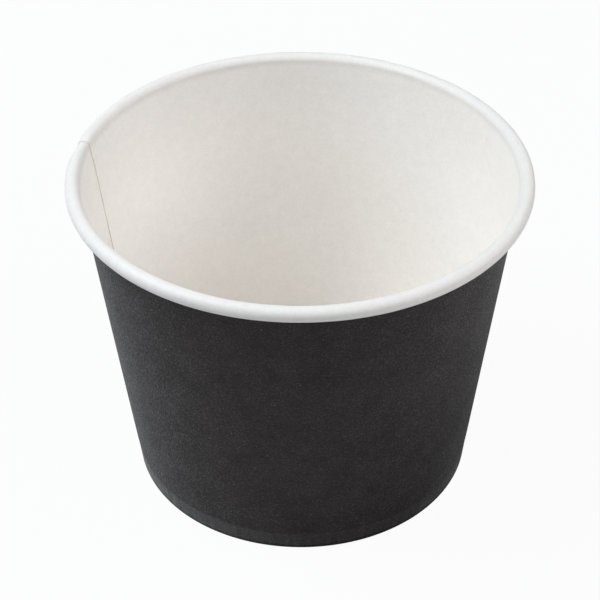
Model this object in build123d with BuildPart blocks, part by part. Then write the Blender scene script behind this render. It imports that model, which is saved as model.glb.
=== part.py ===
from build123d import *
import math
import os

# A paper tub as it stands on a table: origin at the centre of its foot, +Z up, +Y to its back.
# The side wall is one board blank, rolled into a cone and lapped at a seam on the left. Its top
# edge is curled outwards into the rim, and its lower edge is folded in and up round the skirt of
# the base disc. Lengths are in millimetres and angles in degrees.

# Overall sizes, over the outside
rim_diameter = 98.0
base_diameter = 74.4
height = 73.6

# Boards, and the bond line between two of them
wall_board = 0.35
base_board = 0.3
bond_gap = 0.02

# Rolled rim, and the gap that its end leaves to the wall where the board is doubled
curl_diameter = 3.15
curl_gap = 0.1

# Hem: the pressed band round the foot, pinched in at its upper edge
hem_height = 5.2
pinch_depth = 0.05
pinch_rise = 3.0
pinch_radius = 4.0
fold_radius = 0.06

# Base disc: height of its underside over the turned-up edge of the hem, and the bend into its skirt
base_lift = 0.8
base_bend_radius = 0.5

# Side seam: where the inner lap ends, how wide the laps are, and how far the board ramps out
seam_angle = 165.6
seam_overlap = 8.0
seam_ramp = 6.0
ramp_steps = 4

full_turn = 360.0
half_turn = 180.0

# The outer face of the wall runs from the foot to touch the inside of the curl
base_radius = base_diameter / 2
curl_radius = curl_diameter / 2
curl_inside = curl_radius - wall_board
curl_x = rim_diameter / 2 - curl_radius
curl_z = height - curl_radius
foot_to_curl = math.hypot(curl_x - base_radius, curl_z)
lean = math.atan2(curl_x - base_radius, curl_z) - math.asin(curl_inside / foot_to_curl)
lean_turn = math.degrees(lean)

# The curl turns until its end is close to the outer lap of the wall
curl_shut = math.acos((curl_inside - wall_board - curl_gap) / curl_radius)
curl_turn = full_turn - math.degrees(curl_shut)

# The two laps of the seam, as angles about the axis
mean_radius = (base_radius + curl_x) / 2
overlap_turn = math.degrees(seam_overlap / mean_radius)
ramp_turn = math.degrees(seam_ramp / mean_radius)


def across(thickness):
    """Level width of a board of this thickness, leaning with the wall."""
    return thickness / math.cos(lean)


def wall_radius(z):
    """Outer face of the straight wall."""
    return base_radius + z * math.tan(lean)


def band_radius(z):
    """Outer face of the pressed band."""
    pinched = wall_radius(hem_height) - pinch_depth
    return base_radius + (pinched - base_radius) * z / hem_height


# Across the hem lie the wall, the skirt of the base and the turned-up edge of the wall
hem_width = across(2 * wall_board + base_board + 2 * bond_gap)


def wall_face(shift, foot, fold):
    """Draws one face of the side wall, from the end of the hem to the end of the curl.

    shift is how far it lies outside the wall's first layer, foot is the height of its fold
    over the table, and fold the radius there. Returns its first and last points.
    """
    step = across(shift)
    pinch_top = hem_height + pinch_rise
    curl_bend = curl_inside - shift
    touch_x = curl_x - curl_bend * math.cos(lean)
    touch_z = curl_z + curl_bend * math.sin(lean)
    side = FilletPolyline(
        (band_radius(hem_height) - hem_width - step, hem_height),
        (band_radius(foot) - hem_width - step, foot),
        (band_radius(foot) + step, foot),
        (band_radius(hem_height) + step, hem_height),
        (wall_radius(pinch_top) + step, pinch_top),
        (touch_x, touch_z),
        radius=[fold, fold, pinch_radius, pinch_radius],
    )
    curl = CenterArc((curl_x, curl_z), curl_bend, half_turn - lean_turn, -curl_turn)
    return side @ 0, curl @ 1


def wall_section(angle, outer, inner):
    """The board cut through at an angle about the axis, between two shifts of its faces."""
    with BuildSketch(Plane.XZ.rotated((0, 0, angle))) as section:
        with BuildLine():
            outer_hem, outer_curl = wall_face(outer, 0, fold_radius + wall_board)
            inner_hem, inner_curl = wall_face(inner, wall_board, fold_radius)
            Line(outer_hem, inner_hem)
            Line(outer_curl, inner_curl)
        make_face()
    return section.sketch


# Side wall: a single board for most of the turn, then both laps of the seam as one thickness,
# and the ramp by which the outer lap leaves the single board. The inner lap ends at the seam
# angle with its raw edge bare, and the outer lap ends behind it, on the outside.
single_turn = full_turn - overlap_turn - ramp_turn
ramp_shares = [step / ramp_steps for step in range(ramp_steps + 1)]

with BuildPart() as side_wall:
    revolve(wall_section(seam_angle + ramp_turn, 0, -wall_board), Axis.Z, single_turn)
    revolve(wall_section(seam_angle - overlap_turn, wall_board, -wall_board), Axis.Z, overlap_turn)
    ramp_sections = []
    for share in ramp_shares:
        lift = wall_board * share
        ramp_sections.append(wall_section(seam_angle + ramp_turn * (1 - share), lift, lift - wall_board))
    loft(ramp_sections, ruled=True)

# Base disc: a flat disc whose edge is bent down into a skirt that fills the hem
skirt_inset = across(wall_board + bond_gap)
skirt_width = across(base_board)
skirt_foot = wall_board + fold_radius + bond_gap
base_recess = hem_height + base_lift
base_top = base_recess + base_board

with BuildPart() as base_disc:
    with BuildSketch(Plane.XZ):
        with BuildLine():
            upper = FilletPolyline(
                (band_radius(skirt_foot) - skirt_inset, skirt_foot),
                (band_radius(base_top) - skirt_inset, base_top),
                (0, base_top),
                radius=base_bend_radius + base_board,
            )
            under = FilletPolyline(
                (band_radius(skirt_foot) - skirt_inset - skirt_width, skirt_foot),
                (band_radius(base_recess) - skirt_inset - skirt_width, base_recess),
                (0, base_recess),
                radius=base_bend_radius,
            )
            Line(upper @ 0, under @ 0)
            Line(upper @ 1, under @ 1)
        make_face()
    revolve(axis=Axis.Z)

os.makedirs("parts", exist_ok=True)
for name, piece in (("side_wall", side_wall), ("base_disc", base_disc)):
    piece.part.label = name
    export_step(piece.part, f"parts/{name}.step")
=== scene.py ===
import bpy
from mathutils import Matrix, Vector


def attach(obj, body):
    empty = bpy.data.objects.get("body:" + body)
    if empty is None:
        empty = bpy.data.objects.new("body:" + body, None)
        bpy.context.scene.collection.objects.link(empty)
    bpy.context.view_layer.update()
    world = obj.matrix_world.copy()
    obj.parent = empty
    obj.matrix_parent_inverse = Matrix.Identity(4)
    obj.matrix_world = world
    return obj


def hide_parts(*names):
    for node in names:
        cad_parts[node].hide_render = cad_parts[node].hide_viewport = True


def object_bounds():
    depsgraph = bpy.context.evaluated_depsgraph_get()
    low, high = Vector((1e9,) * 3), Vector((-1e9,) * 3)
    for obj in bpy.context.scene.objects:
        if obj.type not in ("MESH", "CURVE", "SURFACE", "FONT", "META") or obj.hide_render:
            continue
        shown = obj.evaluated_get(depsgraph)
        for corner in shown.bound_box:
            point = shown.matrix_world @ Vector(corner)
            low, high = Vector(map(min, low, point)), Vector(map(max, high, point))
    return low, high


bl_info = {
    "name": "Paper tub",
    "version": (1, 0, 0),
    "blender": (4, 5, 0),
    "location": "3D View > Sidebar > Paper tub",
    "description": "Rolls and folds the two boards of a paper tub round its packed frame",
    "category": "Object",
}

import math

import bpy
from mathutils import Matrix, Vector

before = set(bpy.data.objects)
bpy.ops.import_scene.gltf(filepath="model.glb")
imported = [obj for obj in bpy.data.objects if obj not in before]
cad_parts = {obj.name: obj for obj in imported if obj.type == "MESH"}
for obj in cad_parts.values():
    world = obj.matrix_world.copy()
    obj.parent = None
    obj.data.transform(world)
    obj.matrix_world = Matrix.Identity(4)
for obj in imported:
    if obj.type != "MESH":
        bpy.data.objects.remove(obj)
cad_low, cad_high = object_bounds()

# The tub stands on the origin with +Z up and +Y to its back. Lengths are in metres.
MM = 0.001
MERGE_DISTANCE = 0.001 * MM
SHARP_ANGLE = math.radians(40)
IMAGE_SIZE = 600
SENSOR_WIDTH = 36.0

# Kinds of node that are used often
MATH = "ShaderNodeMath"
VECTOR_MATH = "ShaderNodeVectorMath"
RANGE = "ShaderNodeMapRange"
NOISE = "ShaderNodeTexNoise"
VORONOI = "ShaderNodeTexVoronoi"
ATTRIBUTE = "GeometryNodeInputNamedAttribute"


def linear(hex_colour):
    """Turns an sRGB hex value such as 8c8a84 into linear red, green and blue."""
    channels = []
    for start in (0, 2, 4):
        value = int(hex_colour[start:start + 2], 16) / 255
        channels.append(value / 12.92 if value <= 0.04045 else ((value + 0.055) / 1.055) ** 2.4)
    return channels


def per_mm(size):
    """Texture scale at which one cell of a pattern measures this many millimetres."""
    return 1 / (size * MM)


def add_node(tree, kind, inputs=(), **settings):
    """Adds a node, makes its settings, and sets or links its inputs, given in order or by name.

    A node that is given as an input is linked by its first output.
    """
    node = tree.nodes.new(kind)
    for name, value in settings.items():
        setattr(node, name, value)
    pairs = inputs.items() if isinstance(inputs, dict) else enumerate(inputs)
    for socket, value in pairs:
        if isinstance(value, bpy.types.Node):
            value = value.outputs[0]
        if isinstance(value, bpy.types.NodeSocket):
            tree.links.new(value, node.inputs[socket])
        else:
            node.inputs[socket].default_value = value
    return node


class TubSizes(bpy.types.PropertyGroup):
    """Sizes of the two boards and of their folds."""

    rim_diameter: bpy.props.FloatProperty(
        name="Rim diameter", description="Over the rolled rim",
        default=cad_high.x - cad_low.x, unit="LENGTH")
    foot_diameter: bpy.props.FloatProperty(
        name="Foot diameter", description="Over the fold that the tub stands on",
        default=74.4 * MM, unit="LENGTH")
    height: bpy.props.FloatProperty(
        name="Height", description="From the foot to the top of the rim",
        default=cad_high.z - cad_low.z, unit="LENGTH")
    wall_board: bpy.props.FloatProperty(
        name="Wall board", description="Thickness of the side wall's board",
        default=0.35 * MM, unit="LENGTH")
    base_board: bpy.props.FloatProperty(
        name="Base board", description="Thickness of the base disc's board",
        default=0.3 * MM, unit="LENGTH")
    bond_gap: bpy.props.FloatProperty(
        name="Bond gap", description="Space between two boards that are sealed together",
        default=0.02 * MM, unit="LENGTH")
    roll_diameter: bpy.props.FloatProperty(
        name="Roll diameter", description="Thickness of the rolled rim",
        default=3.15 * MM, unit="LENGTH")
    flare: bpy.props.FloatProperty(
        name="Flare", description="How far the wall turns out from its straight run to meet the roll",
        default=0.16 * MM, unit="LENGTH")
    hem_height: bpy.props.FloatProperty(
        name="Hem height", description="How far the wall's edge is turned up inside the foot",
        default=5.2 * MM, unit="LENGTH")
    band_height: bpy.props.FloatProperty(
        name="Band height", description="Upper edge of the band that the hem's tool presses",
        default=4.5 * MM, unit="LENGTH")
    pinch_depth: bpy.props.FloatProperty(
        name="Pinch depth", description="How far the band is pressed in at its upper edge",
        default=0.05 * MM, unit="LENGTH")
    base_recess: bpy.props.FloatProperty(
        name="Base recess", description="Height of the base disc's underside over the foot",
        default=6.0 * MM, unit="LENGTH")
    seam_angle: bpy.props.FloatProperty(
        name="Seam angle", description="Where the inner lap of the side seam ends",
        default=math.radians(165.6), subtype="ANGLE")
    seam_lap: bpy.props.FloatProperty(
        name="Seam lap", description="How far the two ends of the wall lie over each other",
        default=math.radians(10.84), subtype="ANGLE")
    seam_ramp: bpy.props.FloatProperty(
        name="Seam ramp", description="Over how much of the turn the outer lap rises to its place",
        default=math.radians(8.13), subtype="ANGLE")
    seam_press: bpy.props.FloatProperty(
        name="Seam press", description="Share of the board's thickness left at the sealed ends",
        default=0.5, subtype="FACTOR")
    crimps: bpy.props.IntProperty(
        name="Crimps", description="Marks that the pressing tool leaves round the hem", default=108)
    crimp_height: bpy.props.FloatProperty(
        name="Crimp height", description="Height of those marks on the turned-up inside of the hem",
        default=0.12 * MM, unit="LENGTH")


class TubColours(bpy.types.PropertyGroup):
    """Colours of the board and of its print."""

    print_black: bpy.props.FloatVectorProperty(
        name="Print", description="Ink on the outside", default=linear("1d1818"), subtype="COLOR")
    ink_bronze: bpy.props.FloatVectorProperty(
        name="Bronze", description="Warm tint of the ink's gloss",
        default=linear("fff3ee"), subtype="COLOR")
    board_white: bpy.props.FloatVectorProperty(
        name="Board", description="Coated white board", default=linear("f4efe9"), subtype="COLOR")
    back_white: bpy.props.FloatVectorProperty(
        name="Back", description="Uncoated back of the base's board",
        default=linear("e6e0d4"), subtype="COLOR")
    edge_tan: bpy.props.FloatVectorProperty(
        name="Raw edge", description="Cut edge of the board", default=linear("ebdfcc"), subtype="COLOR")
    dust_grey: bpy.props.FloatVectorProperty(
        name="Dust", description="Specks on the print", default=linear("8e8c8a"), subtype="COLOR")


class TubStage(bpy.types.PropertyGroup):
    """Floor and light."""

    floor_colour: bpy.props.FloatVectorProperty(
        name="Floor", description="Plain pale floor", default=linear("cecece"), subtype="COLOR")
    surround: bpy.props.FloatProperty(
        name="Surround", description="Even light from all round", default=0.03, min=0)
    cool_light: bpy.props.FloatVectorProperty(
        name="Cool light", description="Colour of the softboxes on the left",
        default=linear("eef7ff"), subtype="COLOR")
    day_light: bpy.props.FloatVectorProperty(
        name="Day light", description="Colour of the other softboxes",
        default=linear("f9fbff"), subtype="COLOR")
    left_power: bpy.props.FloatProperty(
        name="Left softbox", description="Power of the softbox on the left",
        default=1.72, min=0, unit="POWER")
    high_left_power: bpy.props.FloatProperty(
        name="High left softbox", description="Power of the softbox high on the left",
        default=6.5, min=0, unit="POWER")
    left_back_power: bpy.props.FloatProperty(
        name="Left back softbox", description="Power of the softbox behind on the left",
        default=0.4, min=0, unit="POWER")
    right_power: bpy.props.FloatProperty(
        name="Right softbox", description="Power of the softbox on the right",
        default=2.65, min=0, unit="POWER")
    right_front_power: bpy.props.FloatProperty(
        name="Right front softbox", description="Power of the softbox in front on the right",
        default=2.05, min=0, unit="POWER")
    high_front_power: bpy.props.FloatProperty(
        name="High front softbox", description="Power of the softbox high in front",
        default=0.75, min=0, unit="POWER")


def crease(radius, height, bend=0.0, steps=1, crimp=0.0, press=1.0):
    """One crease of a section.

    Its radius from the axis and its height, the radius and steps of its bend, how far the crimps
    stand there, outwards positive, and the share of the board's thickness that the tool leaves.
    """
    return radius, height, bend, steps, crimp, press


def roll_centre(sizes):
    """Distance of the roll's centre from the axis, and its height."""
    return sizes.rim_diameter / 2 - sizes.roll_diameter / 2, sizes.height - sizes.roll_diameter / 2


def wall_slopes(sizes):
    """How fast the wall widens with height, how fast its straight run does, and how fast the band does.

    From foot to roll the wall has to touch the inside of the roll. Its straight run is a little
    steeper, and flares out at its top.
    """
    foot = sizes.foot_diameter / 2
    bend = sizes.roll_diameter / 2 - sizes.wall_board
    roll_x, roll_z = roll_centre(sizes)
    reach = math.hypot(roll_x - foot, roll_z)
    slope = math.tan(math.atan2(roll_x - foot, roll_z) - math.asin(bend / reach))
    straight = slope - sizes.flare / sizes.height
    return slope, straight, straight - sizes.pinch_depth / sizes.band_height


def wall_creases(sizes):
    """The wall's printed face in section, from the turned-up end of the hem to the end of the roll."""
    foot = sizes.foot_diameter / 2
    hem = sizes.hem_height
    band = sizes.band_height
    bend = sizes.roll_diameter / 2 - sizes.wall_board
    roll_x, roll_z = roll_centre(sizes)
    slope, straight, pinched = wall_slopes(sizes)
    hem_width = (2 * sizes.wall_board + sizes.base_board + 2 * sizes.bond_gap) * math.hypot(1, slope)
    # The crimps stand inwards inside the hem, run over the middle of it, and are faint on the band
    deep = -sizes.crimp_height
    faint = deep / 6
    crimp_foot = 0.3
    crimp_top = 0.85
    creases = []
    for share, depth in ((1, 0), (crimp_top, deep), (crimp_foot, deep)):
        creases.append(crease(foot + share * hem * pinched - hem_width, share * hem, crimp=depth))
    # The folds of the foot are pressed flat, so their board is thin and their bends are tight
    fold_bend = 0.2 * MM
    fold_press = 0.5
    for inset in (hem_width, 0):
        creases.append(crease(foot - inset, 0, bend=fold_bend, steps=6, press=fold_press))
    for share in (crimp_foot, crimp_top):
        creases.append(crease(foot + share * band * pinched, share * band, crimp=faint))
    # Above the band's edge the wall comes back to its straight run
    band_bend = 0.8 * MM
    pinch_bend = 8 * MM
    pinch_top = band + 3 * MM
    creases.append(crease(foot + band * pinched, band, bend=band_bend, steps=3))
    creases.append(crease(foot + pinch_top * straight, pinch_top, bend=pinch_bend, steps=3))
    # Points up the straight run, at these shares of the height, let it waver
    for share in (0.25, 0.4, 0.55, 0.7, 0.84):
        creases.append(crease(foot + share * sizes.height * straight, share * sizes.height))
    flare_start = 0.93 * sizes.height
    flare_bend = 30 * MM
    creases.append(crease(foot + flare_start * straight, flare_start, bend=flare_bend, steps=4))
    # The roll is a square whose corners are bent almost as wide as the square allows
    turn = bend * 0.97
    corner_steps = 11
    creases.append(crease(foot + (roll_z + bend) * slope, roll_z + bend, bend=turn, steps=corner_steps))
    creases.append(crease(roll_x + bend, roll_z + bend, bend=turn, steps=corner_steps))
    creases.append(crease(roll_x + bend, roll_z - bend, bend=turn, steps=corner_steps))
    # Its end turns up a little more, towards the wall
    last_turn = math.radians(38)
    tuck = bend * math.tan(last_turn / 2)
    end_x = roll_x - tuck - tuck * math.cos(last_turn)
    end_z = roll_z - bend + tuck * math.sin(last_turn)
    creases.append(crease(roll_x - tuck, roll_z - bend, bend=turn, steps=5))
    creases.append(crease(end_x, end_z))
    return creases


def base_creases(sizes):
    """The base disc's upper face in section, from the foot of its skirt to its centre."""
    slope, _, pinched = wall_slopes(sizes)
    skirt = sizes.foot_diameter / 2 - sizes.wall_board * math.hypot(1, slope) - 2 * sizes.bond_gap
    top = sizes.base_recess + sizes.base_board
    skirt_foot = 1.0 * MM
    skirt_bend = 0.5 * MM
    creases = [crease(skirt + skirt_foot * pinched, skirt_foot)]
    creases.append(crease(skirt + top * pinched, top, bend=skirt_bend, steps=8))
    for share in (0.9, 0.75, 0.5, 0.25, 0):
        creases.append(crease(skirt * share, top))
    return creases


def section_object(name, creases):
    """A line of points through the creases, with the values of each as attributes."""
    mesh = bpy.data.meshes.new(name)
    radii, heights, bends, steps, crimps, presses = zip(*creases)
    points = [(radius, 0, height) for radius, height in zip(radii, heights)]
    edges = [(index, index + 1) for index in range(len(points) - 1)]
    mesh.from_pydata(points, edges, [])
    for attribute, kind, values in (
            ("bend", "FLOAT", bends), ("steps", "INT", steps),
            ("crimp", "FLOAT", crimps), ("press", "FLOAT", presses)):
        mesh.attributes.new(attribute, kind, "POINT")
        mesh.attributes[attribute].data.foreach_set("value", values)
    section = bpy.data.objects.new(name, mesh)
    bpy.context.scene.collection.objects.link(section)
    return section


def rolled_board_tree():
    """Node tree that bends a section at its creases, rolls it about the axis and gives it thickness."""
    tree = bpy.data.node_groups.new("rolled_board", "GeometryNodeTree")
    sockets = tree.interface
    sockets.new_socket("Piece", in_out="OUTPUT", socket_type="NodeSocketGeometry")
    sockets.new_socket("Section", in_out="INPUT", socket_type="NodeSocketGeometry")
    for name in ("Columns", "Crimps", "Seed"):
        sockets.new_socket(name, in_out="INPUT", socket_type="NodeSocketInt")
    for name in ("Board", "Start", "Turn", "Lap", "Ramp", "Lap Step", "Lap Press", "Hem", "Height",
                 "Oval Across", "Oval Aslant", "Inset", "Waver"):
        sockets.new_socket(name, in_out="INPUT", socket_type="NodeSocketFloat")
    for name in ("First Finish", "Other Finish", "Edge Finish"):
        sockets.new_socket(name, in_out="INPUT", socket_type="NodeSocketMaterial")
    given = tree.nodes.new("NodeGroupInput").outputs

    # The section as a line with rounded creases, and one grid row for each of its points
    line = add_node(tree, "GeometryNodeMeshToCurve", {"Mesh": given["Section"]})
    bend = add_node(tree, ATTRIBUTE, {"Name": "bend"}, data_type="FLOAT")
    steps = add_node(tree, ATTRIBUTE, {"Name": "steps"}, data_type="INT")
    bent = add_node(tree, "GeometryNodeFilletCurve", {
        "Curve": line, "Radius": bend, "Count": steps, "Limit Radius": True}, mode="POLY")
    rows = add_node(tree, "GeometryNodeAttributeDomainSize", {"Geometry": bent}, component="CURVE")
    grid = add_node(tree, "GeometryNodeMeshGrid", {"Vertices X": given["Columns"], "Vertices Y": rows})
    index = add_node(tree, "GeometryNodeInputIndex")
    row = add_node(tree, "FunctionNodeIntegerMath", (index, rows), operation="MODULO")
    column = add_node(tree, "FunctionNodeIntegerMath", (index, rows), operation="DIVIDE")

    # What the section holds at each row
    position = add_node(tree, "GeometryNodeInputPosition")
    tangent = add_node(tree, "GeometryNodeInputTangent")
    crimp = add_node(tree, ATTRIBUTE, {"Name": "crimp"}, data_type="FLOAT")
    press = add_node(tree, ATTRIBUTE, {"Name": "press"}, data_type="FLOAT")
    sampled = []
    for kind, value in (
            ("FLOAT_VECTOR", position), ("FLOAT_VECTOR", tangent), ("FLOAT", crimp), ("FLOAT", press)):
        sampled.append(add_node(tree, "GeometryNodeSampleIndex", {
            "Geometry": bent, "Value": value, "Index": row}, data_type=kind, domain="POINT"))
    place, along, crimp, press = sampled
    height = add_node(tree, "ShaderNodeSeparateXYZ", (place,)).outputs["Z"]

    # Angle about the axis: the outer lap comes first, and the inner lap ends the turn
    last_column = add_node(tree, MATH, (given["Columns"], 1), operation="SUBTRACT")
    end = add_node(tree, MATH, (given["Start"], given["Turn"]), operation="ADD")
    angle = add_node(tree, RANGE, {
        "Value": column, "From Max": last_column, "To Min": given["Start"], "To Max": end})
    lap_end = add_node(tree, MATH, (given["Start"], given["Lap"]), operation="ADD")
    ramp_end = add_node(tree, MATH, (lap_end, given["Ramp"]), operation="ADD")
    outer = add_node(tree, RANGE, {
        "Value": angle, "From Min": lap_end, "From Max": ramp_end, "To Min": 1.0, "To Max": 0.0},
        interpolation_type="SMOOTHSTEP")
    lap_start = add_node(tree, MATH, (end, given["Lap"]), operation="SUBTRACT")
    ramp_start = add_node(tree, MATH, (lap_start, given["Ramp"]), operation="SUBTRACT")
    inner = add_node(tree, RANGE, {
        "Value": angle, "From Min": ramp_start, "From Max": lap_start}, interpolation_type="SMOOTHSTEP")
    step = add_node(tree, MATH, (outer, given["Lap Step"]), operation="MULTIPLY")

    # The folds of the two laps nest in each other over the same foot, fading out near the hem's end
    nest_share = 0.8
    fold_top = add_node(tree, MATH, (given["Hem"], nest_share), operation="MULTIPLY")
    low = add_node(tree, RANGE, {
        "Value": height, "From Max": fold_top, "To Min": 1.0, "To Max": 0.0},
        interpolation_type="SMOOTHSTEP")
    nest = add_node(tree, MATH, (inner, given["Lap Step"], step), operation="MULTIPLY_ADD")
    nest = add_node(tree, MATH, (nest, low), operation="MULTIPLY")

    # The crimps, each pressed to a share of its own of their height
    least_share = 0.3
    most_share = 1.3
    turned = add_node(tree, MATH, (angle, given["Crimps"]), operation="MULTIPLY")
    ridge = add_node(tree, MATH, (turned,), operation="COSINE")
    ridge = add_node(tree, RANGE, {"Value": ridge, "From Min": -1.0})
    mark = add_node(tree, MATH, (turned, math.tau), operation="DIVIDE")
    mark = add_node(tree, MATH, (mark,), operation="ROUND")
    mark = add_node(tree, MATH, (mark, given["Seed"]), operation="ADD")
    luck = add_node(tree, "ShaderNodeTexWhiteNoise", {"W": mark}, noise_dimensions="1D")
    luck = add_node(tree, RANGE, {"Value": luck, "To Min": least_share, "To Max": most_share})
    depth = add_node(tree, MATH, (crimp, ridge), operation="MULTIPLY")
    depth = add_node(tree, MATH, (depth, luck), operation="MULTIPLY")

    # The rim is a little out of round, and the wall wavers as thin board does. Both grow with the
    # square of the height, because the base holds the foot round.
    waver_scale = 1.6
    waver_middle = 0.5
    growth = 2.0
    level = add_node(tree, MATH, (height, given["Height"]), operation="DIVIDE")
    twice = add_node(tree, MATH, (angle, 2.0), operation="MULTIPLY")
    across = add_node(tree, MATH, (twice,), operation="COSINE")
    aslant = add_node(tree, MATH, (twice,), operation="SINE")
    oval = add_node(tree, MATH, (across, given["Oval Across"]), operation="MULTIPLY")
    oval = add_node(tree, MATH, (aslant, given["Oval Aslant"], oval), operation="MULTIPLY_ADD")
    around = add_node(tree, "ShaderNodeCombineXYZ", {"X": 1.0, "Z": level})
    around = add_node(tree, "ShaderNodeVectorRotate", {
        "Vector": around, "Angle": angle}, rotation_type="Z_AXIS")
    waver = add_node(tree, NOISE, {
        "Vector": around, "W": given["Seed"], "Scale": waver_scale, "Detail": 1.0}, noise_dimensions="4D")
    waver = add_node(tree, MATH, (waver, waver_middle), operation="SUBTRACT")
    sway = add_node(tree, MATH, (waver, given["Waver"], oval), operation="MULTIPLY_ADD")
    sway = add_node(tree, MATH, (sway, given["Inset"]), operation="SUBTRACT")
    rise = add_node(tree, MATH, (level, growth), operation="POWER")
    shift = add_node(tree, MATH, (sway, rise, depth), operation="MULTIPLY_ADD")

    # Each point leaves the section along the board's normal, and turns about the axis
    normal = add_node(tree, VECTOR_MATH, ((0, 1, 0), along), operation="CROSS_PRODUCT")
    lapped = add_node(tree, VECTOR_MATH, (normal, step, place), operation="MULTIPLY_ADD")
    offset = add_node(tree, "ShaderNodeCombineXYZ", {"X": shift, "Z": nest})
    moved = add_node(tree, VECTOR_MATH, (lapped, offset), operation="ADD")
    rolled = add_node(tree, "ShaderNodeVectorRotate", {
        "Vector": moved, "Angle": angle}, rotation_type="Z_AXIS")

    # The seal and the hem's tool press the board thinner, at the ends of the laps and in the folds
    from_start = add_node(tree, MATH, (angle, given["Start"]), operation="SUBTRACT")
    from_end = add_node(tree, MATH, (end, angle), operation="SUBTRACT")
    nearest = add_node(tree, MATH, (from_start, from_end), operation="MINIMUM")
    # The roll's tool presses the ends to half of that, from these shares of the height
    press_start = 0.955
    press_full = 0.98
    press_reach = math.radians(3)
    halved = add_node(tree, MATH, (given["Lap Press"], 0.5), operation="MULTIPLY")
    lap_press = add_node(tree, RANGE, {
        "Value": level, "From Min": press_start, "From Max": press_full,
        "To Min": given["Lap Press"], "To Max": halved})
    share = add_node(tree, RANGE, {
        "Value": nearest, "From Max": press_reach, "To Min": lap_press, "To Max": 1.0},
        interpolation_type="SMOOTHSTEP")
    share = add_node(tree, MATH, (share, press), operation="MULTIPLY")
    thickness = add_node(tree, MATH, (share, given["Board"]), operation="MULTIPLY")

    # The first face is the rolled grid, and the other face is drawn out of it by the thickness
    noted = add_node(tree, "GeometryNodeStoreNamedAttribute", {
        "Geometry": grid, "Name": "thickness", "Value": thickness}, data_type="FLOAT", domain="POINT")
    first = add_node(tree, "GeometryNodeSetPosition", {"Geometry": noted, "Position": rolled})
    first = add_node(tree, "GeometryNodeMergeByDistance", {"Geometry": first, "Distance": MERGE_DISTANCE})
    thickness = add_node(tree, ATTRIBUTE, {"Name": "thickness"}, data_type="FLOAT")
    inwards = add_node(tree, MATH, (thickness, -1.0), operation="MULTIPLY")
    drawn = add_node(tree, "GeometryNodeExtrudeMesh", {
        "Mesh": first, "Offset Scale": inwards, "Individual": False}, mode="FACES")
    other = add_node(tree, "GeometryNodeFlipFaces", {"Mesh": drawn})
    both = add_node(tree, "GeometryNodeJoinGeometry", (first,))
    tree.links.new(other.outputs[0], both.inputs[0])
    shut = add_node(tree, "GeometryNodeMergeByDistance", {"Geometry": both, "Distance": MERGE_DISTANCE})
    plain = add_node(tree, "GeometryNodeRemoveAttribute", {"Geometry": shut, "Name": "thickness"})
    piece = add_node(tree, "GeometryNodeRealizeInstances", {"Geometry": plain})
    for finish, faces in (
            ("First Finish", True), ("Other Finish", drawn.outputs["Top"]),
            ("Edge Finish", drawn.outputs["Side"])):
        piece = add_node(tree, "GeometryNodeSetMaterial", {
            "Geometry": piece, "Selection": faces, "Material": given[finish]})
    add_node(tree, "NodeGroupOutput", (piece,))
    return tree


def roll_board(section, **values):
    """Rolls a section into a piece of board with these inputs and makes it a plain mesh."""
    tree = bpy.data.node_groups.get("rolled_board") or rolled_board_tree()
    rolling = section.modifiers.new("Roll", "NODES")
    rolling.node_group = tree
    for socket in tree.interface.items_tree:
        name = socket.name.lower().replace(" ", "_")
        if socket.in_out == "INPUT" and name in values:
            rolling[socket.identifier] = values[name]
    evaluated = section.evaluated_get(bpy.context.evaluated_depsgraph_get())
    mesh = bpy.data.meshes.new_from_object(evaluated)
    if len(mesh.polygons) == 0:
        raise RuntimeError(f"{section.name} has no faces")
    section.modifiers.clear()
    section.data = mesh
    mesh.shade_smooth()
    mesh.set_sharp_from_angle(angle=SHARP_ANGLE)


def new_material(name):
    """An empty node material, its tree and the piece's own coordinates."""
    material = bpy.data.materials.new(name)
    material.use_nodes = True
    tree = material.node_tree
    tree.nodes.clear()
    place = tree.nodes.new("ShaderNodeTexCoord").outputs["Object"]
    return material, tree, place


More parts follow.
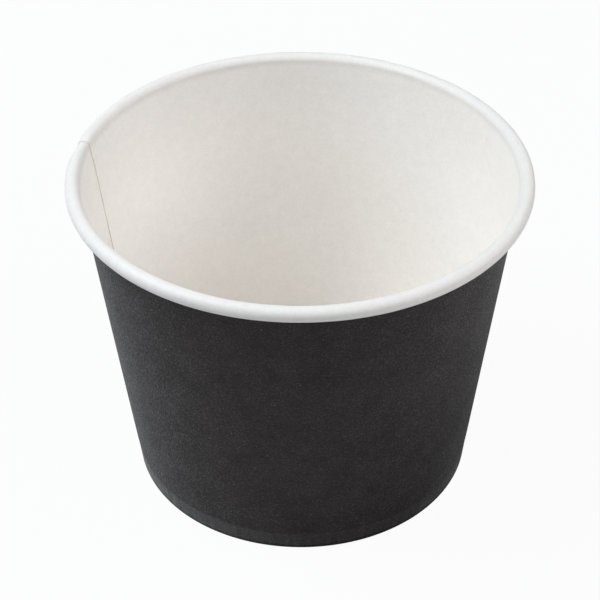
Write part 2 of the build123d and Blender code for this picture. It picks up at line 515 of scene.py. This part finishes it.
def black_flexo_print(colours, sizes):
    """Matt black flexo ink on board: deep, but mottled by the board's tooth, with a few pale specks of
    dust, and a smoother, lighter band where the hem's tool has pressed it."""
    material, tree, place = new_material("black_flexo_print")
    # The tooth of the board is about 0.15 mm, drawn at 0.4 mm so that it shows
    tooth = add_node(tree, NOISE, {"Vector": place, "Scale": per_mm(0.4), "Detail": 2.0, "Roughness": 0.7})
    # Uneven ink lay, in clouds of about 7 mm that break up into finer ones
    lay = add_node(tree, NOISE, {"Vector": place, "Scale": per_mm(7), "Detail": 5.0, "Roughness": 0.72})
    lay_tone = add_node(tree, RANGE, {
        "Value": lay, "From Min": 0.25, "From Max": 0.75, "To Min": 0.77, "To Max": 1.23})
    tooth_tone = add_node(tree, RANGE, {
        "Value": tooth, "From Min": 0.2, "From Max": 0.8, "To Min": 0.77, "To Max": 1.23})
    grain = add_node(tree, MATH, (tooth_tone, lay_tone), operation="MULTIPLY")
    # The band round the foot, up to a clear edge, with upright streaks about 1.6 mm apart
    across, back, height = add_node(tree, "ShaderNodeSeparateXYZ", (place,)).outputs
    band_edge = 0.3 * MM
    band = add_node(tree, RANGE, {
        "Value": height, "From Min": sizes.band_height - band_edge,
        "From Max": sizes.band_height + band_edge, "To Min": 1.0, "To Max": 0.0},
        interpolation_type="SMOOTHSTEP")
    angle = add_node(tree, MATH, (back, across), operation="ARCTAN2")
    around = add_node(tree, MATH, (angle, sizes.foot_diameter / 2), operation="MULTIPLY")
    streaks = add_node(tree, NOISE, {
        "W": around, "Scale": per_mm(1.6), "Detail": 2.0}, noise_dimensions="1D")
    streaks = add_node(tree, RANGE, {
        "Value": streaks, "From Min": 0.3, "From Max": 0.8, "To Min": 0.7, "To Max": 1.6})
    band = add_node(tree, MATH, (band, streaks), operation="MULTIPLY")
    # The band is painted lighter on the left, where the light falls on it, than on the right, and it is
    # stronger low down
    painted_left_light = add_node(tree, RANGE, {
        "Value": across, "From Min": -24 * MM, "From Max": 6 * MM, "To Min": 0.75, "To Max": 0.34})
    band = add_node(tree, MATH, (band, painted_left_light), operation="MULTIPLY")
    low_bite = add_node(tree, RANGE, {
        "Value": height, "From Min": 1.5 * MM, "From Max": sizes.band_height,
        "To Min": 1.25, "To Max": 0.8})
    band = add_node(tree, MATH, (band, low_bite), operation="MULTIPLY")
    # Painted shade darkens the print low down on the right and just above the band
    painted_low_right_shade = add_node(tree, MATH, (across, -1.2, height), operation="MULTIPLY_ADD")
    painted_low_right_shade = add_node(tree, RANGE, {
        "Value": painted_low_right_shade, "From Min": -20 * MM, "From Max": 20 * MM, "To Min": 0.58, "To Max": 1.0})
    painted_hem_shade = add_node(tree, RANGE, {
        "Value": height, "From Min": sizes.band_height, "From Max": 14 * MM, "To Min": 0.94, "To Max": 1.0})
    painted_shade = add_node(tree, MATH, (painted_low_right_shade, painted_hem_shade), operation="MULTIPLY")
    # Painted shade darkens the fold that the tub stands on
    fold = add_node(tree, RANGE, {
        "Value": height, "From Min": 0.4 * MM, "From Max": 1.3 * MM, "To Min": 0.4, "To Max": 1.0})
    painted_shade = add_node(tree, MATH, (painted_shade, fold), operation="MULTIPLY")
    # The band lightens the ink, partly as pressed print and partly as painted light on the left
    pressed = add_node(tree, MATH, (band, 0.25, 1.0), operation="MULTIPLY_ADD")
    tone = add_node(tree, MATH, (grain, pressed), operation="MULTIPLY")
    tone = add_node(tree, MATH, (tone, painted_shade), operation="MULTIPLY")
    ink = add_node(tree, VECTOR_MATH, {0: colours.print_black, "Scale": tone}, operation="SCALE")
    # Dust specks up to 0.3 mm wide, some paler than others, in cells of 2.4 mm
    dust = add_node(tree, VORONOI, {"Vector": place, "Scale": per_mm(2.4)})
    speck = add_node(tree, RANGE, {
        "Value": dust, "From Min": 0.02, "From Max": 0.065, "To Min": 1.0, "To Max": 0.0})
    luck = add_node(tree, "ShaderNodeSeparateColor", (dust.outputs["Color"],))
    luck = add_node(tree, MATH, (luck, 2.0), operation="POWER")
    speck = add_node(tree, MATH, (speck, luck), operation="MULTIPLY")
    grey = add_node(tree, VECTOR_MATH, {0: colours.dust_grey, "Scale": speck}, operation="SCALE")
    colour = add_node(tree, VECTOR_MATH, (ink, grey), operation="ADD")
    # The gloss is mottled like the ink, and stronger and smoother on the band
    ink_gloss = 0.24
    band_gloss = 1.2
    ink_roughness = 0.58
    band_polish = 0.16
    gloss = add_node(tree, MATH, (band, band_gloss, 1.0), operation="MULTIPLY_ADD")
    gloss = add_node(tree, MATH, (gloss, grain), operation="MULTIPLY")
    gloss = add_node(tree, MATH, (gloss, painted_shade), operation="MULTIPLY")
    gloss = add_node(tree, MATH, (gloss, ink_gloss), operation="MULTIPLY")
    rough = add_node(tree, MATH, (band, -band_polish, ink_roughness), operation="MULTIPLY_ADD")
    # Loose fibres on the tops of the tooth catch the light at the sides of the wall
    fibre_contrast = 5.0
    fibre_sheen = 0.075
    fuzz = add_node(tree, RANGE, {
        "Value": tooth, "From Min": 0.2, "From Max": 0.8, "To Min": 0.4, "To Max": 1.6})
    fuzz = add_node(tree, MATH, (fuzz, fibre_contrast), operation="POWER")
    fuzz = add_node(tree, MATH, (fuzz, lay_tone), operation="MULTIPLY")
    fuzz = add_node(tree, MATH, (fuzz, painted_shade), operation="MULTIPLY")
    fuzz = add_node(tree, MATH, (fuzz, fibre_sheen), operation="MULTIPLY")
    relief = add_node(tree, "ShaderNodeBump", {"Height": tooth, "Distance": 0.09 * MM})
    # The ink's bronze tint is pressed off the band
    to_neutral = [1 - channel for channel in colours.ink_bronze]
    pressed_off = add_node(tree, MATH, (band, 1.0), operation="MULTIPLY", use_clamp=True)
    bronze = add_node(
        tree, VECTOR_MATH, (pressed_off, to_neutral, colours.ink_bronze), operation="MULTIPLY_ADD")
    shader = add_node(tree, "ShaderNodeBsdfPrincipled", {
        "Base Color": colour, "Roughness": rough, "Specular IOR Level": gloss, "Specular Tint": bronze,
        "Sheen Weight": fuzz, "Sheen Roughness": 0.45, "Normal": relief})
    add_node(tree, "ShaderNodeOutputMaterial", (shader,))
    return material


def white_coated_board(colours, sizes):
    """Bleached board under a satin plastic coat: a warm white, faintly cloudy, with a few dark specks."""
    material, tree, place = new_material("white_coated_board")
    # Formation: fibres gather in clouds of about 2 mm, finer within
    clouds = add_node(tree, NOISE, {
        "Vector": place, "Scale": per_mm(2.2), "Detail": 4.0, "Roughness": 0.65})
    # Slow drift of the sheet's tone, over about 18 mm
    drift = add_node(tree, NOISE, {"Vector": place, "Scale": per_mm(18), "Detail": 2.0})
    tone = add_node(tree, RANGE, {
        "Value": clouds, "From Min": 0.3, "From Max": 0.7, "To Min": 0.978, "To Max": 1.022})
    slow = add_node(tree, RANGE, {
        "Value": drift, "From Min": 0.3, "From Max": 0.7, "To Min": 0.99, "To Max": 1.01})
    tone = add_node(tree, MATH, (tone, slow), operation="MULTIPLY")
    # The coat follows the tooth of the board, drawn at 0.5 mm so that it shows
    tooth = add_node(tree, NOISE, {"Vector": place, "Scale": per_mm(0.5), "Detail": 2.0})
    fine = add_node(tree, RANGE, {
        "Value": tooth, "From Min": 0.25, "From Max": 0.75, "To Min": 0.965, "To Max": 1.035})
    tone = add_node(tree, MATH, (tone, fine), operation="MULTIPLY")
    # Painted shade darkens the board where it is rolled into the rim, darkest over the roll's top
    height = add_node(tree, "ShaderNodeSeparateXYZ", (place,)).outputs["Z"]
    roll_start = sizes.height - 0.8 * sizes.roll_diameter
    roll_top = sizes.height - 0.4 * sizes.roll_diameter
    painted_rim_shade = add_node(tree, RANGE, {
        "Value": height, "From Min": roll_start, "From Max": roll_top, "To Min": 1.0, "To Max": 0.9})
    tone = add_node(tree, MATH, (tone, painted_rim_shade), operation="MULTIPLY")
    # Specks of bark in the pulp, up to 0.25 mm wide
    bark = add_node(tree, VORONOI, {"Vector": place, "Scale": per_mm(4)})
    speck = add_node(tree, RANGE, {
        "Value": bark, "From Min": 0.01, "From Max": 0.035, "To Min": 0.75, "To Max": 1.0})
    tone = add_node(tree, MATH, (tone, speck), operation="MULTIPLY")
    colour = add_node(tree, VECTOR_MATH, {0: colours.board_white, "Scale": tone}, operation="SCALE")
    rough = add_node(tree, RANGE, {
        "Value": clouds, "From Min": 0.3, "From Max": 0.7, "To Min": 0.45, "To Max": 0.55})
    relief = add_node(tree, "ShaderNodeBump", {"Height": tooth, "Distance": 0.004 * MM})
    shader = add_node(tree, "ShaderNodeBsdfPrincipled", {
        "Base Color": colour, "Roughness": rough, "Specular IOR Level": 0.4, "Normal": relief})
    add_node(tree, "ShaderNodeOutputMaterial", (shader,))
    return material


def uncoated_board_back(colours):
    """Uncoated back of the base's board: a duller cream with loose fibres lying across each other."""
    material, tree, place = new_material("uncoated_board_back")
    clouds = add_node(tree, NOISE, {"Vector": place, "Scale": per_mm(3), "Detail": 4.0, "Roughness": 0.6})
    # Fibres about 2 mm long and 0.3 mm wide, lying two ways
    fibres = []
    for turn in (20, 110):
        laid = add_node(tree, "ShaderNodeMapping", {
            "Vector": place, "Rotation": (0, 0, math.radians(turn)), "Scale": (0.15, 1, 1)})
        fibres.append(add_node(tree, NOISE, {"Vector": laid, "Scale": per_mm(0.3), "Detail": 1.0}))
    felt = add_node(tree, MATH, fibres, operation="MAXIMUM")
    tone = add_node(tree, RANGE, {
        "Value": clouds, "From Min": 0.3, "From Max": 0.7, "To Min": 0.95, "To Max": 1.03})
    fibre_tone = add_node(tree, RANGE, {
        "Value": felt, "From Min": 0.4, "From Max": 0.8, "To Min": 0.95, "To Max": 1.05})
    tone = add_node(tree, MATH, (tone, fibre_tone), operation="MULTIPLY")
    colour = add_node(tree, VECTOR_MATH, {0: colours.back_white, "Scale": tone}, operation="SCALE")
    relief = add_node(tree, "ShaderNodeBump", {"Height": felt, "Distance": 0.02 * MM})
    shader = add_node(tree, "ShaderNodeBsdfPrincipled", {
        "Base Color": colour, "Roughness": 0.85, "Specular IOR Level": 0.25, "Normal": relief})
    add_node(tree, "ShaderNodeOutputMaterial", (shader,))
    return material


def raw_board_edge(colours):
    """Cut edge of the board: bare fibres, tan and dull, a little torn by the knife."""
    material, tree, place = new_material("raw_board_edge")
    # Torn fibres about 0.25 mm across, in patches of about 3 mm
    torn = add_node(tree, NOISE, {"Vector": place, "Scale": per_mm(0.25), "Detail": 2.0})
    patch = add_node(tree, NOISE, {"Vector": place, "Scale": per_mm(3), "Detail": 1.0})
    mixed = add_node(tree, MATH, (torn, patch), operation="ADD")
    tone = add_node(tree, RANGE, {
        "Value": mixed, "From Min": 0.7, "From Max": 1.3, "To Min": 0.82, "To Max": 1.1})
    colour = add_node(tree, VECTOR_MATH, {0: colours.edge_tan, "Scale": tone}, operation="SCALE")
    relief = add_node(tree, "ShaderNodeBump", {"Height": torn, "Distance": 0.02 * MM})
    shader = add_node(tree, "ShaderNodeBsdfPrincipled", {
        "Base Color": colour, "Roughness": 0.9, "Specular IOR Level": 0.2, "Normal": relief})
    add_node(tree, "ShaderNodeOutputMaterial", (shader,))
    return material


class PAPERTUB_OT_side_wall(bpy.types.Operator):
    """Roll the side wall from one blank, with its seam, rim and hem."""

    bl_idname = "papertub.side_wall"
    bl_label = "Side wall"

    def execute(self, context):
        sizes = context.scene.tub_sizes
        colours = context.scene.tub_colours
        wall = section_object("tub_side_wall", wall_creases(sizes))
        roll_board(
            wall, board=sizes.wall_board, columns=557, crimps=sizes.crimps, seed=3,
            start=sizes.seam_angle - sizes.seam_lap, turn=math.tau + sizes.seam_lap,
            lap=sizes.seam_lap, ramp=sizes.seam_ramp, lap_step=sizes.wall_board + sizes.bond_gap,
            lap_press=sizes.seam_press, hem=sizes.hem_height, height=sizes.height,
            oval_across=0.08 * MM, oval_aslant=-0.299 * MM, inset=0.1 * MM, waver=0.1 * MM,
            first_finish=black_flexo_print(colours, sizes),
            other_finish=white_coated_board(colours, sizes),
            edge_finish=raw_board_edge(colours))
        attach(wall, "root")
        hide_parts("side_wall")
        return {"FINISHED"}


class PAPERTUB_OT_base_disc(bpy.types.Operator):
    """Press the base disc and its skirt."""

    bl_idname = "papertub.base_disc"
    bl_label = "Base disc"

    def execute(self, context):
        sizes = context.scene.tub_sizes
        colours = context.scene.tub_colours
        base = section_object("tub_base_disc", base_creases(sizes))
        roll_board(
            base, board=sizes.base_board, columns=181, crimps=1, seed=5, start=0.0, turn=math.tau,
            lap_press=1.0, hem=sizes.hem_height, height=sizes.height,
            first_finish=bpy.data.materials["white_coated_board"],
            other_finish=uncoated_board_back(colours),
            edge_finish=bpy.data.materials["raw_board_edge"])
        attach(base, "root")
        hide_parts("base_disc")
        return {"FINISHED"}


class PAPERTUB_OT_stage(bpy.types.Operator):
    """Set the floor, the light and the camera."""

    bl_idname = "papertub.stage"
    bl_label = "Stage"

    def execute(self, context):
        scene = context.scene
        values = scene.tub_stage
        scene.view_settings.view_transform = "Standard"
        self.add_floor(scene, values)
        self.add_surround(scene, values)
        self.add_softboxes(scene, values)
        self.add_camera(scene)
        return {"FINISHED"}

    def add_floor(self, scene, values):
        """A wide floor, lit like any other, but shown near white to the camera."""
        half = 3.0
        corners = [(-half, -half, 0), (half, -half, 0), (half, half, 0), (-half, half, 0)]
        mesh = bpy.data.meshes.new("floor")
        mesh.from_pydata(corners, [], [(0, 1, 2, 3)])
        floor = bpy.data.objects.new("floor", mesh)
        scene.collection.objects.link(floor)
        material = bpy.data.materials.new("pale_floor")
        material.use_nodes = True
        tree = material.node_tree
        tree.nodes.clear()
        # Lit floor, whitened by these shares for the camera and for gloss, and clear from below
        camera_share = 0.95
        mirror_share = 0.2
        lit = add_node(tree, "ShaderNodeBsdfDiffuse", {"Color": (*values.floor_colour, 1)})
        white = add_node(tree, "ShaderNodeEmission", {"Strength": 1.0})
        ray = tree.nodes.new("ShaderNodeLightPath").outputs
        mirrored = add_node(
            tree, MATH, (ray["Is Glossy Ray"], ray["Is Transmission Ray"]), operation="MAXIMUM")
        mirrored = add_node(tree, MATH, (mirrored, mirror_share), operation="MULTIPLY")
        amount = add_node(
            tree, MATH, (ray["Is Camera Ray"], camera_share, mirrored), operation="MULTIPLY_ADD")
        pale = add_node(tree, "ShaderNodeMixShader", (amount, lit, white))
        clear = add_node(tree, "ShaderNodeBsdfTransparent")
        below = tree.nodes.new("ShaderNodeNewGeometry").outputs["Backfacing"]
        both = add_node(tree, "ShaderNodeMixShader", (below, pale, clear))
        add_node(tree, "ShaderNodeOutputMaterial", (both,))
        mesh.materials.append(material)

    def add_surround(self, scene, values):
        """Weak light from all round, white where it is seen or mirrored."""
        world = bpy.data.worlds.new("surround")
        world.use_nodes = True
        tree = world.node_tree
        tree.nodes.clear()
        ray = tree.nodes.new("ShaderNodeLightPath").outputs
        light = add_node(tree, "ShaderNodeBackground", {"Color": (1, 1, 1, 1), "Strength": values.surround})
        white = add_node(tree, "ShaderNodeBackground", {"Color": (1, 1, 1, 1), "Strength": 1.0})
        seen = add_node(tree, MATH, (ray["Is Camera Ray"], ray["Is Glossy Ray"]), operation="MAXIMUM")
        seen = add_node(tree, MATH, (seen, ray["Is Transmission Ray"]), operation="MAXIMUM")
        both = add_node(tree, "ShaderNodeMixShader", (seen, light, white))
        add_node(tree, "ShaderNodeOutputWorld", (both,))
        scene.world = world

    def add_softboxes(self, scene, values):
        """Six soft lamps round the tub, all turned to it."""
        boxes = (
            ("left", (-0.763, 0.0, 0.517), values.left_power, values.cool_light),
            ("high_left", (-0.477, 0.0, 0.803), values.high_left_power, values.cool_light),
            ("left_back", (-0.54, 0.54, 0.517), values.left_back_power, values.cool_light),
            ("right", (0.763, 0.0, 0.517), values.right_power, values.day_light),
            ("right_front", (0.54, -0.54, 0.517), values.right_front_power, values.day_light),
            ("high_front", (0.0, -0.477, 0.803), values.high_front_power, values.day_light),
        )
        width = 0.5
        aim = Vector((0, 0, 0.04))
        for name, place, power, colour in boxes:
            lamp = bpy.data.lights.new(f"softbox_{name}", "AREA")
            lamp.shape = "SQUARE"
            lamp.size = width
            lamp.energy = power
            lamp.color = colour
            box = bpy.data.objects.new(f"softbox_{name}", lamp)
            box.location = place
            box.rotation_euler = (aim - Vector(place)).to_track_quat("-Z", "Y").to_euler()
            scene.collection.objects.link(box)

    def add_camera(self, scene):
        """The photograph's camera: its distance and rise from the rim's centre, its turns and its focus.

        The focus is in pixels of the image.
        """
        rim_height = 73.6 * MM
        rim_radius = 49 * MM
        rise = math.radians(33.8003)
        distance = 8.29468 * rim_radius
        pitch = math.radians(37.6651)
        yaw = math.radians(-0.03335)
        roll = math.radians(-0.63503)
        focus = 1944.959136
        ahead = Vector((
            math.sin(yaw) * math.cos(pitch), math.cos(yaw) * math.cos(pitch), -math.sin(pitch)))
        level = Vector((math.cos(yaw), -math.sin(yaw), 0))
        upright = level.cross(ahead)
        right = math.cos(roll) * level + math.sin(roll) * upright
        up = math.cos(roll) * upright - math.sin(roll) * level
        place = Vector((0, -distance * math.cos(rise), rim_height + distance * math.sin(rise)))
        lens = bpy.data.cameras.new("camera")
        lens.sensor_width = SENSOR_WIDTH
        lens.lens = focus * SENSOR_WIDTH / IMAGE_SIZE
        lens.clip_start = 0.01
        camera = bpy.data.objects.new("camera", lens)
        turn = Matrix((right, up, -ahead)).transposed().to_4x4()
        camera.matrix_world = Matrix.Translation(place) @ turn
        scene.collection.objects.link(camera)
        scene.camera = camera


class PAPERTUB_PT_panel(bpy.types.Panel):
    """Lists the tub's sizes, colours, stage and operators."""

    bl_label = "Paper tub"
    bl_idname = "PAPERTUB_PT_panel"
    bl_space_type = "VIEW_3D"
    bl_region_type = "UI"
    bl_category = "Paper tub"

    def draw(self, context):
        scene = context.scene
        for group in (scene.tub_sizes, scene.tub_colours, scene.tub_stage):
            box = self.layout.box()
            for name in group.__annotations__:
                box.prop(group, name)
        for operator in (PAPERTUB_OT_side_wall, PAPERTUB_OT_base_disc, PAPERTUB_OT_stage):
            self.layout.operator(operator.bl_idname)


CLASSES = (
    TubSizes, TubColours, TubStage,
    PAPERTUB_OT_side_wall, PAPERTUB_OT_base_disc, PAPERTUB_OT_stage, PAPERTUB_PT_panel,
)


def register():
    """Adds the classes, and their values to the scene."""
    for cls in CLASSES:
        bpy.utils.register_class(cls)
    bpy.types.Scene.tub_sizes = bpy.props.PointerProperty(type=TubSizes)
    bpy.types.Scene.tub_colours = bpy.props.PointerProperty(type=TubColours)
    bpy.types.Scene.tub_stage = bpy.props.PointerProperty(type=TubStage)


def unregister():
    """Takes the values and the classes out again."""
    del bpy.types.Scene.tub_stage
    del bpy.types.Scene.tub_colours
    del bpy.types.Scene.tub_sizes
    for cls in reversed(CLASSES):
        bpy.utils.unregister_class(cls)


def main():
    """Builds both pieces and the stage."""
    register()
    bpy.ops.papertub.side_wall()
    bpy.ops.papertub.base_disc()
    bpy.ops.papertub.stage()


if __name__ == "__main__":
    main()
